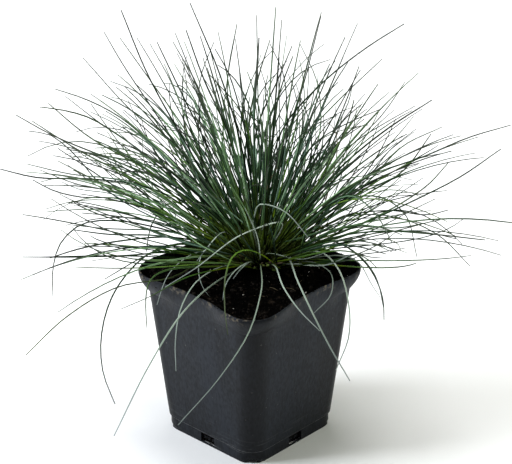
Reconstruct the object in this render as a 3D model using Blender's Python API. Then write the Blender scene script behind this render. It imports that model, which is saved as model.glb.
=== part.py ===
"""Potted blue fescue clump: a square black nursery pot, its potting mix and the tufted grass in it.

Metres, +Z up. The origin is the middle of the pot's resting face. The pot's walls face the axes, and its
near corner in the photograph is the one at +X and -Y.
"""

import math

import bmesh
import bpy
import numpy as np
from mathutils import Matrix, Vector
from mathutils.kdtree import KDTree

MM = 0.001
GAP = 0.3 * MM                     # clearance between pieces that touch

# Pot: outside half-widths are from the axis to a wall
POT_HEIGHT = 98.0 * MM
RIM_HALF = 43.0 * MM
FOOT_HALF = 34.9 * MM
CORNER_RADIUS = 10.5 * MM
WALL_BOW = 0.8 * MM                # how far a wall's middle stands out from a straight line
WALL = 1.0 * MM
SKIRT_HEIGHT = 7.2 * MM            # the foot line's height over the resting face
SKIRT_INSET = 0.7 * MM
FLOOR_UNDERSIDE = 2.5 * MM
FLOOR_TOP = 4.0 * MM
PAD_HALF = 10.0 * MM               # the flat pad in the middle of the underside
LIP_REACH = 4.4 * MM               # how far the curled lip stands out at a corner
LIP_DROP = 12.0 * MM
LIP_RINGS = (1.0, 0.78, 0.56, 0.34, 0.12, 0.0)   # shares of the drop, from the lip's lower edge to the rim
LIP_AT_MIDDLE = 0.12               # share of the lip's reach that is left in the middle of a side
SIDE_HOLE = (10.0 * MM, 0.9 * MM, 6.4 * MM)   # width, sill's height and top: it opens the wall over the floor
CORNER_NOTCH = (8.0 * MM, -2.0 * MM, 2.0 * MM)   # the same; it runs on past the resting face
CUT_DEPTH = 2.4 * MM               # inward from the foot line
CUT_PAST = 2.0 * MM                # how far a cutter starts outside the foot line
SIDE_STEPS = 4                     # facets along a wall and around a corner
ARC_STEPS = 4

# Potting mix and crown
SOIL_BELOW_RIM = LIP_RINGS[3] * LIP_DROP
SOIL_WALL_GAP = 0.6 * MM
SOIL_AT_CROWN = 0.6 * MM           # over the rim's height
SOIL_RINGS = (0.3, 0.65)           # shares of the way in from the wall to the crown's seat
SOIL_LUMP = 0.5 * MM
SEAT_MARGIN = 1.5 * MM             # how much wider than the crown its level seat is
CROWN_RIGHT = 6.0 * MM             # the crown's place, as seen in the photograph
CROWN_AWAY = 8.0 * MM
CROWN_RADIUS = 13.5 * MM
CROWN_RISE = 8.5 * MM
CROWN_LUMP = 0.5 * MM
CROWN_LUMPS = 5
LOWEST_FOOT = math.radians(12.0)   # up the crown's side, where the lowest leaves start
FOOT_LIFT = 0.6 * MM               # between the crown and the first of a leaf

# Leaves
LEAF_RADIUS = 0.55 * MM
TIP_RADIUS = 0.16 * MM
LEAF_SEGMENTS = 2                  # for each traced point
SHOOTS = 30
SHOOT_LENGTH = 138.0 * MM
SHOOT_SEGMENTS = 6
SHEATH_LENGTH = 13.0 * MM
SHEATH_RADIUS = (1.15 * MM, 0.75 * MM)
LOWEST_RISE = 14.0                 # degrees over level, where a shoot leaves the crown
STEEPEST_RISE = 87.0
FRONT_RISE = 46.0                  # the lowest rise of the shoots that face the viewer
FRONT_SECTOR = 58.0                # degrees to each side of the viewer's direction
DROOP = 0.36                       # fall of a level leaf's tip, as a share of its length
START_STEEPER = 11.0               # degrees by which a level leaf starts over its shoot's direction
GOLDEN_ANGLE = 180.0 * (3.0 - math.sqrt(5.0))
# A shoot's leaves: turn as a share of the fan's half-width, tilt in degrees, share of the full length,
# and how far up the sheath the leaf starts
FAN_HALF_WIDTH = 7.0               # degrees, on a level shoot
FAN = ((0.0, 3.0, 1.0, 0.18), (1.0, -3.5, 0.87, 0.31), (-1.0, -1.0, 0.93, 0.44))
FAN_OFFSET = 0.2 * MM              # between the starts of neighbouring leaves
LENGTH_SPREAD = 0.06
# Where a shoot would meet a leaf, it is turned and lifted by the first of these that clears it, in degrees
TWISTS = [0.0] + [side * 2.0 * step for step in range(1, 13) for side in (1.0, -1.0)]
LIFTS = (0.0, 3.0, -3.0, 6.0, 9.0)

# Where the photograph was taken from: a long lens, looking down on the near corner
VIEW_AZIMUTH = math.radians(43.1)
VIEW_ELEVATION = math.radians(27.0)
VIEW_DISTANCE = 1.350
VIEW_AIM_RIGHT = 3.4 * MM
VIEW_AIM_HEIGHT = 119.5 * MM
FOCAL_PIXELS = 2500.0
PHOTO_MIDDLE = (256.0, 232.0)

RIGHT = Vector((math.cos(VIEW_AZIMUTH), math.sin(VIEW_AZIMUTH), 0.0))
AWAY = Vector((-math.sin(VIEW_AZIMUTH), math.cos(VIEW_AZIMUTH), 0.0))
BACK = -AWAY * math.cos(VIEW_ELEVATION) + Vector((0.0, 0.0, math.sin(VIEW_ELEVATION)))
UPWARD = BACK.cross(RIGHT)
EYE = RIGHT * VIEW_AIM_RIGHT + Vector((0.0, 0.0, VIEW_AIM_HEIGHT)) + BACK * VIEW_DISTANCE
CROWN = RIGHT * CROWN_RIGHT + AWAY * CROWN_AWAY + Vector((0.0, 0.0, POT_HEIGHT + SOIL_AT_CROWN + GAP))

# Single leaves, each from near the crown to its tip. A point is a place in the photograph, in pixels, and
# its distance behind the pot's axis in millimetres, less than zero on the viewer's side.
LEAVES = {
    "leaf_left_droop": [(185, 243, -4), (150, 253, -16), (118, 286, -28), (101, 340, -34),
                        (103, 372, -36), (115, 404, -37)],
    "leaf_left_low": [(215, 258, -4), (170, 278, -26), (118, 287, -36), (65, 318, -43), (26, 355, -48)],
    "leaf_left_arch": [(150, 226, 10), (115, 220.5, 7), (80, 225, 4), (62, 241, 2),
                       (53, 268, 1), (53, 297, 0)],
    "leaf_left_level": [(180, 250, 2), (140, 254.5, -2), (80, 257, -8), (22, 257, -12)],
    "leaf_left_long": [(150, 188, 18), (90, 179, 25), (33, 177, 31), (0, 169, 34)],
    "leaf_left_high": [(160, 180, -8), (110, 159, -17), (50, 134, -27), (16, 115, -32)],
    "leaf_left_back": [(160, 172, 44), (100, 155, 80), (66, 149, 99)],
    "leaf_upper_left": [(180, 150, 26), (135, 114, 40), (83, 58, 52)],
    "leaf_top_left": [(185, 142, 14), (147, 73, 22), (121, 10, 26)],
    "leaf_crest_left": [(241, 145, -6), (220, 75, -20), (190, 3, -32)],
    "leaf_crest_back": [(233, 145, 26), (228, 75, 48), (237, 24, 62)],
    "leaf_crest_middle": [(254, 130, -14), (257, 75, -34), (259, 38, -46)],
    "leaf_crest_right": [(284, 150, 22), (304, 83, 42), (321, 16, 58)],
    "leaf_top_right": [(285, 125, 4), (318, 87, -3), (369, 46, -11), (404, 24, -16)],
    "leaf_right_high": [(340, 168, 34), (390, 127, 54), (432, 100, 68)],
    "leaf_right_long": [(360, 180, 4), (425, 156, -4), (470, 137, -10), (511, 125, -14)],
    "leaf_right_bow": [(350, 229, -20), (415, 200, -34), (460, 177, -42), (501, 149, -50)],
    "leaf_right_level": [(345, 235, -8), (385, 231, -14), (425, 233.5, -19), (485, 240, -26)],
    "leaf_right_arch": [(350, 216, 16), (395, 217, 19), (438, 235, 20), (470, 266, 20)],
    "leaf_right_hook": [(355, 197, 28), (380, 197, 34), (404, 213, 39), (417, 257, 42)],
    "leaf_rim_arch": [(325, 240, 0), (345, 246, -8), (368, 266, -16), (383, 300, -22), (384, 320, -24)],
    "leaf_front_long": [(235, 271, -10), (212, 285, -26), (180, 316, -48), (150, 364, -63), (114, 436, -78)],
    "leaf_front_left": [(218, 268, -16), (192, 287, -32), (181, 308, -40), (175.5, 340, -43),
                        (176, 371, -44)],
    "leaf_front_middle": [(261, 268, -22), (261, 292, -50), (250, 330, -68), (223, 373, -75),
                          (178, 425, -80)],
    "leaf_front_short": [(274, 265, -14), (285, 290, -40), (300, 311, -53), (320, 331, -60)],
    "leaf_front_right": [(285, 255, -10), (298, 282, -33), (313, 314, -50), (330, 347, -60),
                         (350, 381, -67)],
    "leaf_right_curl": [(325, 254, -14), (340, 272, -24), (348, 300, -30), (349, 335, -33),
                        (336, 370, -34)],
}
YELLOW_LEAVES = ("leaf_left_low",)
PALE_LEAVES = ("leaf_front_long", "leaf_front_left", "leaf_front_middle", "leaf_front_short",
               "leaf_front_right", "leaf_right_curl")

# Colour, roughness
PLASTIC = ((0.030, 0.032, 0.036), 0.55)
SOIL_BROWN = ((0.020, 0.014, 0.010), 0.95)
CROWN_STRAW = ((0.160, 0.150, 0.060), 0.80)
BLUE_GREEN = ((0.070, 0.150, 0.090), 0.60)
YELLOW_GREEN = ((0.200, 0.250, 0.090), 0.60)
SILVER_GREEN = ((0.260, 0.340, 0.300), 0.60)


def clear_scene():
    """Start from an empty file."""
    for item in list(bpy.data.objects):
        bpy.data.objects.remove(item, do_unlink=True)


def new_collection(name):
    """A collection in the scene."""
    collection = bpy.data.collections.new(name)
    bpy.context.scene.collection.children.link(collection)
    return collection


def new_material(name, colour_and_roughness):
    """A plain Principled material."""
    colour, roughness = colour_and_roughness
    material = bpy.data.materials.new(name)
    material.use_nodes = True
    shader = material.node_tree.nodes["Principled BSDF"]
    shader.inputs["Base Color"].default_value = (*colour, 1.0)
    shader.inputs["Roughness"].default_value = roughness
    shader.inputs["Metallic"].default_value = 0.0
    material.diffuse_color = (*colour, 1.0)
    return material


def new_object(name, mesh, collection, material=None):
    """A mesh object in its collection, with its material."""
    item = bpy.data.objects.new(name, mesh)
    collection.objects.link(item)
    if material:
        mesh.materials.append(material)
    return item


def mesh_from(bm, name):
    """A mesh from a bmesh, with its faces pointing out."""
    bmesh.ops.recalc_face_normals(bm, faces=bm.faces)
    if bm.calc_volume(signed=True) < 0.0:
        bmesh.ops.reverse_faces(bm, faces=bm.faces)
    mesh = bpy.data.meshes.new(name)
    bm.to_mesh(mesh)
    bm.free()
    return mesh


def soften(mesh, degrees):
    """Shade a round piece smooth, and keep its sharp edges."""
    mesh.shade_smooth()
    mesh.set_sharp_from_angle(angle=math.radians(degrees))


def loft(name, rings):
    """A closed skin through rings of equal count, with a flat face on the first and the last."""
    bm = bmesh.new()
    rows = [[bm.verts.new(point) for point in ring] for ring in rings]
    for row, above in zip(rows, rows[1:]):
        for index in range(len(row)):
            following = (index + 1) % len(row)
            bm.faces.new((row[index], row[following], above[following], above[index]))
    bm.faces.new(rows[0])
    bm.faces.new(rows[-1])
    return mesh_from(bm, name)


def ease(share):
    """From 0 to 1, with level ends."""
    share = min(max(share, 0.0), 1.0)
    return share * share * (3.0 - 2.0 * share)


def square_ring(half, radius, height, bow=0.0, lip=0.0, inset=0.0):
    """A square with round corners, whose walls bow out and whose corners stand out by a lip."""
    straight = half - radius
    ring = []
    for quarter in range(4):
        turn = Matrix.Rotation(math.radians(90.0 * quarter), 3, "Z")
        for step in range(SIDE_STEPS):
            along = 2.0 * step / SIDE_STEPS - 1.0
            corner_share = LIP_AT_MIDDLE + (1.0 - LIP_AT_MIDDLE) * ease((abs(along) - 0.25) / 0.75)
            out = half + bow * (1.0 - along * along) + lip * corner_share - inset
            ring.append(turn @ Vector((out, along * straight, height)))
        for step in range(ARC_STEPS):
            angle = math.radians(90.0 * step / ARC_STEPS)
            reach = radius + lip - inset
            ring.append(turn @ Vector((straight + reach * math.cos(angle),
                                       straight + reach * math.sin(angle), height)))
    return ring


def lip_at(height):
    """The curled lip's reach at a corner: widest just under the rim, and gone at its lower edge."""
    fall = (POT_HEIGHT - height) / LIP_DROP
    if fall >= 1.0:
        return 0.0
    if fall < 0.12:
        return LIP_REACH * (0.88 + fall)
    return LIP_REACH * math.cos(math.pi / 2.0 * (fall - 0.12) / 0.88) ** 1.5


def wall_ring(height, inset=0.0):
    """The pot's wall at a height, or its inside where an inset is given."""
    share = (height - SKIRT_HEIGHT) / (POT_HEIGHT - SKIRT_HEIGHT)
    half = FOOT_HALF + (RIM_HALF - FOOT_HALF) * share
    return square_ring(half, CORNER_RADIUS, height, WALL_BOW * share, lip_at(height), inset)


def pot_rings():
    """The pot's section, from the middle of its underside, over the rim, to the middle of its floor."""
    skirt_half = FOOT_HALF - SKIRT_INSET
    lip_heights = [POT_HEIGHT - LIP_DROP * share for share in LIP_RINGS]
    outside = [SKIRT_HEIGHT + 0.5 * MM] + lip_heights
    return (
        [square_ring(PAD_HALF, PAD_HALF / 2.0, 0.0),
         square_ring(PAD_HALF, PAD_HALF / 2.0, FLOOR_UNDERSIDE),
         square_ring(skirt_half, CORNER_RADIUS, FLOOR_UNDERSIDE, inset=WALL),
         square_ring(skirt_half, CORNER_RADIUS, 0.0, inset=WALL),
         square_ring(skirt_half, CORNER_RADIUS, 0.0),
         square_ring(skirt_half, CORNER_RADIUS, SKIRT_HEIGHT)]
        + [wall_ring(height) for height in outside]
        + [wall_ring(height, WALL) for height in reversed(lip_heights)]
        + [square_ring(skirt_half, CORNER_RADIUS, FLOOR_TOP, inset=WALL)]
    )


def add_cut(size, out, degrees, cutters):
    """A box that cuts one drainage hole or notch in from the foot line."""
    width, bottom, top = size
    bpy.ops.mesh.primitive_cube_add(size=1.0)
    cutter = bpy.context.object
    for holder in list(cutter.users_collection):
        holder.objects.unlink(cutter)
    cutters.objects.link(cutter)
    cutter.name = "drainage_cutter"
    length = CUT_DEPTH + CUT_PAST
    middle = Vector((out + CUT_PAST - length / 2.0, 0.0, (bottom + top) / 2.0))
    cutter.data.transform(Matrix.Diagonal((length, width, top - bottom, 1.0)))
    cutter.data.transform(Matrix.Translation(middle))
    cutter.rotation_euler.z = math.radians(degrees)
    cutter.hide_render = True
    cutter.display_type = "WIRE"


def make_pot(parts, cutters, material):
    """The moulded pot, with its drainage holes and notches cut."""
    pot = new_object("pot", loft("pot", pot_rings()), parts, material)
    diagonal = (FOOT_HALF - CORNER_RADIUS) * math.sqrt(2.0) + CORNER_RADIUS
    for quarter in range(4):
        add_cut(SIDE_HOLE, FOOT_HALF, 90.0 * quarter, cutters)
        add_cut(CORNER_NOTCH, diagonal, 90.0 * quarter + 45.0, cutters)
    cut = pot.modifiers.new("drainage", "BOOLEAN")
    cut.operation = "DIFFERENCE"
    cut.solver = "EXACT"
    cut.operand_type = "COLLECTION"
    cut.collection = cutters
    soften(pot.data, 35.0)


def make_soil(parts, material):
    """Potting mix: the pot's inside, a gap away, with a low uneven mound under the crown."""
    edge_height = POT_HEIGHT - SOIL_BELOW_RIM
    seat_height = POT_HEIGHT + SOIL_AT_CROWN
    inset = WALL + SOIL_WALL_GAP
    rings = [square_ring(FOOT_HALF - SKIRT_INSET, CORNER_RADIUS, FLOOR_TOP + GAP, inset=inset)]
    rings += [wall_ring(POT_HEIGHT - LIP_DROP * share, inset) for share in LIP_RINGS[:4]]
    edge = rings[-1]
    seat = []
    for point in edge:
        outward = Vector((point.x - CROWN.x, point.y - CROWN.y, 0.0)).normalized()
        seat.append(Vector((CROWN.x, CROWN.y, seat_height)) + outward * (CROWN_RADIUS + SEAT_MARGIN))
    for share in SOIL_RINGS:
        ring = [point.lerp(inner, share) for point, inner in zip(edge, seat)]
        for index, point in enumerate(ring):
            lump = SOIL_LUMP * math.sin(2.4 * index + 9.0 * share)
            point.z = edge_height + (seat_height - edge_height) * ease(share) + lump
        rings.append(ring)
    soil = new_object("soil", loft("soil", rings + [seat]), parts, material)
    soften(soil.data, 50.0)


def make_crown(parts, material):
    """The dome of packed shoot bases, flat underneath."""
    bm = bmesh.new()
    bmesh.ops.create_uvsphere(bm, u_segments=16, v_segments=8, radius=1.0)
    everything = bm.verts[:] + bm.edges[:] + bm.faces[:]
    cut = bmesh.ops.bisect_plane(bm, geom=everything, dist=1e-5, plane_co=(0.0, 0.0, 0.0),
                                 plane_no=(0.0, 0.0, 1.0), clear_inner=True)
    rim = [item for item in cut["geom_cut"] if isinstance(item, bmesh.types.BMEdge)]
    bmesh.ops.edgeloop_fill(bm, edges=rim)
    for vert in bm.verts:
        wave = math.sin(CROWN_LUMPS * math.atan2(vert.co.y, vert.co.x))
        reach = CROWN_RADIUS + CROWN_LUMP * (wave * (1.0 - vert.co.z ** 2) - 1.0)
        vert.co.x *= reach
        vert.co.y *= reach
        vert.co.z *= CROWN_RISE
        vert.co += CROWN
    crown = new_object("crown", mesh_from(bm, "crown"), parts, material)
    soften(crown.data, 60.0)


def seen(column, row, behind):
    """The point under a pixel of the photograph, at a distance in mm behind the pot's axis."""
    sight = (RIGHT * (column - PHOTO_MIDDLE[0]) + UPWARD * (PHOTO_MIDDLE[1] - row)) / FOCAL_PIXELS - BACK
    return EYE + sight * ((behind * MM - EYE.dot(AWAY)) / sight.dot(AWAY))


def crown_point(direction, lift):
    """The crown's surface under a direction, lifted off it."""
    sideways = Vector((direction.x, direction.y, 0.0))
    polar = max(math.atan2(direction.z, sideways.length), LOWEST_FOOT)
    outward = sideways.normalized() * (CROWN_RADIUS * math.cos(polar) + lift)
    return CROWN + outward + Vector((0.0, 0.0, CROWN_RISE * math.sin(polar) + lift))


def smooth(points, segments):
    """A smooth curve through the points, as evenly spaced points."""
    knots = np.array([tuple(point) for point in points])
    gaps = np.linalg.norm(np.diff(knots, axis=0), axis=1)
    stations = np.concatenate(([0.0], np.cumsum(gaps)))
    slopes = np.gradient(knots, stations, axis=0)
    fine = np.linspace(0.0, stations[-1], 160)
    index = np.clip(np.searchsorted(stations, fine, side="right") - 1, 0, len(gaps) - 1)
    gap = gaps[index][:, None]
    t = (fine[:, None] - stations[index][:, None]) / gap
    curve = (
        (2 * t ** 3 - 3 * t ** 2 + 1) * knots[index]
        + (t ** 3 - 2 * t ** 2 + t) * gap * slopes[index]
        + (3 * t ** 2 - 2 * t ** 3) * knots[index + 1]
        + (t ** 3 - t ** 2) * gap * slopes[index + 1]
    )
    travelled = np.concatenate(([0.0], np.cumsum(np.linalg.norm(np.diff(curve, axis=0), axis=1))))
    stops = np.linspace(0.0, travelled[-1], segments + 1)
    return [Vector([float(np.interp(stop, travelled, curve[:, axis])) for axis in range(3)])
            for stop in stops]


def taper(count):
    """A leaf's radius at each point: even for most of its length, then down to a fine tip."""
    shares = [index / (count - 1) for index in range(count)]
    return [LEAF_RADIUS + (TIP_RADIUS - LEAF_RADIUS) * share ** 2.2 for share in shares]


def leaf_route(points):
    """A traced leaf, from its foot on the crown to its tip."""
    traced = [seen(*point) for point in points]
    foot = crown_point(traced[0] - CROWN, FOOT_LIFT + LEAF_RADIUS)
    return smooth([foot] + traced, LEAF_SEGMENTS * len(traced))


def heading(azimuth, rise):
    """The direction at an azimuth and a rise over level, in degrees."""
    azimuth = math.radians(azimuth)
    rise = math.radians(rise)
    return Vector((math.cos(rise) * math.cos(azimuth), math.cos(rise) * math.sin(azimuth), math.sin(rise)))


def shoot_aim(number):
    """A shoot's azimuth and rise: even over the dome, and steeper where it would face the viewer."""
    share = (number + 0.5) / SHOOTS
    rise = math.degrees(math.asin(1.0 - share * (1.0 - math.sin(math.radians(LOWEST_RISE)))))
    azimuth = GOLDEN_ANGLE * number
    if heading(azimuth, 0.0).dot(-AWAY) > math.cos(math.radians(FRONT_SECTOR)):
        rise = max(rise, FRONT_RISE)
    return azimuth, rise


def shoot_leaf(start, azimuth, rise, length):
    """A leaf of a shoot: it leaves straight, and its own weight bends it over."""
    level_share = math.cos(math.radians(rise))
    outward = heading(azimuth, rise + START_STEEPER * level_share)
    fall = DROOP * length * math.hypot(outward.x, outward.y)
    shares = [index / SHOOT_SEGMENTS for index in range(SHOOT_SEGMENTS + 1)]
    return [start + outward * (length * share) - Vector((0.0, 0.0, fall * share ** 2)) for share in shares]


def shoot_plan(number, twist, lift):
    """One shoot: its foot, its direction, and its leaves' routes in a narrow fan."""
    azimuth, rise = shoot_aim(number)
    azimuth += twist
    rise = min(rise + lift, STEEPEST_RISE)
    direction = heading(azimuth, rise)
    foot = crown_point(direction, FOOT_LIFT + SHEATH_RADIUS[0])
    sideways = heading(azimuth + 90.0, 0.0)
    half_width = FAN_HALF_WIDTH / max(math.cos(math.radians(rise)), 0.35)
    routes = []
    for order, (turn, tilt, size, start) in enumerate(FAN):
        length = SHOOT_LENGTH * size * (1.0 - LENGTH_SPREAD * math.sin(1.7 * number + order))
        inside = foot + direction * (SHEATH_LENGTH * start) + sideways * (FAN_OFFSET * turn)
        leaf_rise = min(rise + tilt, STEEPEST_RISE)
        routes.append(shoot_leaf(inside, azimuth + half_width * turn, leaf_rise, length))
    return foot, direction, routes


def sampled(route, radii):
    """Points every millimetre or so along a route, with the radius there."""
    points = []
    for start, end, first, last in zip(route, route[1:], radii, radii[1:]):
        count = max(int((end - start).length / MM), 1)
        for step in range(count):
            share = step / count
            points.append((start.lerp(end, share), first + (last - first) * share))
    points.append((route[-1], radii[-1]))
    return points


class Space:
    """What is already placed, as balls, so that the next leaf can stay clear of it."""

    def __init__(self):
        self.balls = []
        self.tree = None

    def add(self, balls):
        """Take in the balls of a placed piece."""
        self.balls.extend(balls)
        self.tree = KDTree(len(self.balls))
        for index, (point, radius) in enumerate(self.balls):
            self.tree.insert(point, index)
        self.tree.balance()

    def is_clear(self, balls):
        """Whether a piece keeps its distance to all that is placed."""
        if self.tree is None:
            return True
        for point, radius in balls:
            for _, index, distance in self.tree.find_range(point, radius + SHEATH_RADIUS[0] + GAP):
                if distance < radius + self.balls[index][1] + GAP:
                    return False
        return True


def tube(name, route, radii):
    """A closed four-sided tube along a route, as a mesh."""
    curve = bpy.data.curves.new(name, "CURVE")
    curve.dimensions = "3D"
    curve.bevel_depth = LEAF_RADIUS
    curve.bevel_resolution = 0
    curve.use_fill_caps = True
    spline = curve.splines.new("POLY")
    spline.points.add(len(route) - 1)
    for point, place, radius in zip(spline.points, route, radii):
        point.co = (*place, 1.0)
        point.radius = radius / LEAF_RADIUS
    holder = bpy.data.objects.new(name, curve)
    bpy.context.scene.collection.objects.link(holder)
    evaluated = holder.evaluated_get(bpy.context.evaluated_depsgraph_get())
    mesh = bpy.data.meshes.new_from_object(evaluated)
    bpy.data.objects.remove(holder, do_unlink=True)
    bpy.data.curves.remove(curve)
    bm = bmesh.new()
    bm.from_mesh(mesh)
    bmesh.ops.remove_doubles(bm, verts=bm.verts, dist=1e-6)
    bpy.data.meshes.remove(mesh)
    return mesh_from(bm, name)


def sheath(foot, direction):
    """The short sheath that a shoot's leaves grow out of."""
    bm = bmesh.new()
    bmesh.ops.create_cone(bm, cap_ends=True, segments=5, radius1=SHEATH_RADIUS[0],
                          radius2=SHEATH_RADIUS[1], depth=SHEATH_LENGTH)
    aim = direction.to_track_quat("Z", "Y").to_matrix().to_4x4()
    middle = foot + direction * (SHEATH_LENGTH / 2.0)
    bm.transform(Matrix.Translation(middle) @ aim)
    return mesh_from(bm, "sheath")


def fused(name, body_mesh, added_meshes, parts, material):
    """One object whose body and additions are joined in one solid."""
    body = new_object(name, body_mesh, parts)
    additions = []
    for mesh in added_meshes:
        addition = new_object("addition", mesh, parts)
        union = body.modifiers.new("union", "BOOLEAN")
        union.operation = "UNION"
        union.solver = "MANIFOLD"    # the exact solver drops faces on parts as thin as these
        union.object = addition
        additions.append(addition)
    evaluated = body.evaluated_get(bpy.context.evaluated_depsgraph_get())
    joined = bpy.data.meshes.new_from_object(evaluated)
    body.modifiers.clear()
    body.data = joined
    joined.name = name
    joined.materials.clear()
    joined.materials.append(material)
    for addition in additions:
        bpy.data.objects.remove(addition, do_unlink=True)


def make_leaves(parts, materials, space):
    """The single leaves that stand out of the clump."""
    for name, points in LEAVES.items():
        route = leaf_route(points)
        radii = taper(len(route))
        space.add(sampled(route, radii))
        kind = "silver" if name in PALE_LEAVES else "yellow" if name in YELLOW_LEAVES else "blue"
        new_object(name, tube(name, route, radii), parts, materials[kind])


def clear_shoot(number, space):
    """A shoot's plan, turned and lifted until it is clear of what is placed, and its balls."""
    radii = taper(SHOOT_SEGMENTS + 1)
    for lift in LIFTS:
        for twist in TWISTS:
            foot, direction, routes = shoot_plan(number, twist, lift)
            balls = sampled([foot, foot + direction * SHEATH_LENGTH], SHEATH_RADIUS)
            for route in routes:
                balls += sampled(route, radii)
            if space.is_clear(balls):
                return foot, direction, routes, balls
    raise ValueError(f"no room for shoot {number + 1}")


def make_shoots(parts, material, space):
    """The shoots: each a sheath with its leaves, in one solid."""
    radii = taper(SHOOT_SEGMENTS + 1)
    for number in range(SHOOTS):
        foot, direction, routes, balls = clear_shoot(number, space)
        space.add(balls)
        leaves = [tube("shoot_leaf", route, radii) for route in routes]
        fused(f"shoot_{number + 1:02d}", sheath(foot, direction), leaves, parts, material)


def main():
    """Build every piece."""
    clear_scene()
    parts = new_collection("potted_blue_fescue")
    cutters = new_collection("cutters")
    materials = {
        "blue": new_material("leaf_blue_green", BLUE_GREEN),
        "yellow": new_material("leaf_yellow_green", YELLOW_GREEN),
        "silver": new_material("leaf_silver_green", SILVER_GREEN),
    }
    make_pot(parts, cutters, new_material("black_plastic", PLASTIC))
    make_soil(parts, new_material("potting_mix", SOIL_BROWN))
    make_crown(parts, new_material("crown_straw", CROWN_STRAW))
    space = Space()
    make_leaves(parts, materials, space)
    make_shoots(parts, materials["blue"], space)


main()
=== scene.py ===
"""Looks of the potted blue fescue clump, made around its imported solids. Metres, +Z up."""

import math
from dataclasses import dataclass

import bmesh
import bpy
import numpy as np
from mathutils import Matrix, Vector, noise


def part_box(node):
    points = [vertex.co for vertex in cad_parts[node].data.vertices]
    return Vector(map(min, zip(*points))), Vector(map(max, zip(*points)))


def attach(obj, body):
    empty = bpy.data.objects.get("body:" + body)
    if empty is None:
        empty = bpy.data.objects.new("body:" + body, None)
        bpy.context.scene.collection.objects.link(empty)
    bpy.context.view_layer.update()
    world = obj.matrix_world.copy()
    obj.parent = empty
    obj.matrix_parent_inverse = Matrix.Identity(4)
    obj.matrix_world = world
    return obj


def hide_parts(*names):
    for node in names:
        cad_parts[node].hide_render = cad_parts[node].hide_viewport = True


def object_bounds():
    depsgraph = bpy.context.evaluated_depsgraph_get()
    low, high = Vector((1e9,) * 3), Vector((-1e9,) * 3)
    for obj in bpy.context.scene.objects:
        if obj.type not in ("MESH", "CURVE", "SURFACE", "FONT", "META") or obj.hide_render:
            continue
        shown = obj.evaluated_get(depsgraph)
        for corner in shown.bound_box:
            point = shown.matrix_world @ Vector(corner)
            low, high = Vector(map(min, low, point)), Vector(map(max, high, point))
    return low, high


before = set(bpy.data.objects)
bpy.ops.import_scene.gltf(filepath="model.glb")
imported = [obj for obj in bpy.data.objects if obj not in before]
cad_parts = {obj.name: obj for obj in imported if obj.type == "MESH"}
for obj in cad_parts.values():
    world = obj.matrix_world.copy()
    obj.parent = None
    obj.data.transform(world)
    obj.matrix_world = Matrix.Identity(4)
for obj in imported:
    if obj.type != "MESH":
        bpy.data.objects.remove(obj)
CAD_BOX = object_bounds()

MM = 0.001
TINY = 1e-12
SEED = 7305

# Where the photograph was taken from: a long lens, looking down on the pot's near corner
VIEW_AZIMUTH = math.radians(43.1)
VIEW_ELEVATION = math.radians(27.0)
VIEW_DISTANCE = 1.350
VIEW_AIM_RIGHT = 3.4 * MM
VIEW_AIM_HEIGHT = 119.5 * MM
FOCAL_PIXELS = 2500.0
PHOTO_SIZE = (512, 464)
SENSOR_WIDTH = 36.0

RIGHT = np.array((math.cos(VIEW_AZIMUTH), math.sin(VIEW_AZIMUTH), 0.0))
AWAY = np.array((-math.sin(VIEW_AZIMUTH), math.cos(VIEW_AZIMUTH), 0.0))
UP = np.array((0.0, 0.0, 1.0))
BACK = -AWAY * math.cos(VIEW_ELEVATION) + UP * math.sin(VIEW_ELEVATION)
UPWARD = np.cross(BACK, RIGHT)
EYE = RIGHT * VIEW_AIM_RIGHT + UP * VIEW_AIM_HEIGHT + BACK * VIEW_DISTANCE

# Pot, as in the solid, with finer steps
POT_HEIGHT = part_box("pot")[1].z
RIM_HALF = 43.0 * MM
FOOT_HALF = 34.9 * MM
CORNER_RADIUS = 10.5 * MM
WALL_BOW = 0.8 * MM
WALL = 1.0 * MM
SKIRT_HEIGHT = 7.2 * MM
SKIRT_INSET = 0.7 * MM
FLOOR_UNDERSIDE = 2.5 * MM
FLOOR_TOP = 4.0 * MM
PAD_HALF = 10.0 * MM
LIP_REACH = 4.4 * MM
LIP_DROP = 12.0 * MM
LIP_AT_MIDDLE = 0.12  # the lip in the middle of a side, as a share of a corner's
LIP_LEVEL = 0.25  # how much of a side's half has no more lip than that
LIP_CREST = 0.12  # how far down the lip it reaches furthest
LIP_FULLNESS = 0.9  # the power of its curve under that
WALL_FOOT = SKIRT_HEIGHT + 0.5 * MM
SKIRT_EDGE = 0.25 * MM
SKIRT_SHOULDER = 0.2 * MM
SKIRT_LEDGE = 0.4 * SKIRT_INSET
SHARP_ANGLE = math.radians(35.0)
SIDE_HOLE = (10.0 * MM, 0.9 * MM, 6.4 * MM)
CORNER_NOTCH = (8.0 * MM, -2.0 * MM, 2.0 * MM)
CUT_DEPTH = 2.4 * MM
CUT_PAST = 2.0 * MM
SIDE_STEPS = 20
ARC_STEPS = 12
LIP_STEPS = 22
WALL_STEPS = 12
RIM_STEPS = 6

# Potting mix
SOIL_EDGE = POT_HEIGHT - 4.1 * MM
SOIL_SEAT = POT_HEIGHT + 0.6 * MM
SOIL_INSET = WALL + 0.6 * MM
SOIL_FLOOR_GAP = 0.3 * MM
SOIL_WALL_STEPS = 8
SOIL_RINGS = 46
SOIL_LUMPS = 1.1 * MM
LUMP_SCALE = 160.0
LUMP_FRACTAL = (0.6, 2.0, 4)
LUMPS_AT_WALL = 0.2  # how high the lumps are beside the wall, as a share
LUMPS_RISE = 8.0  # and how fast that grows inward
CROWN_SEAT = 1.0 * MM  # how far the mix goes in under the crown
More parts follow.
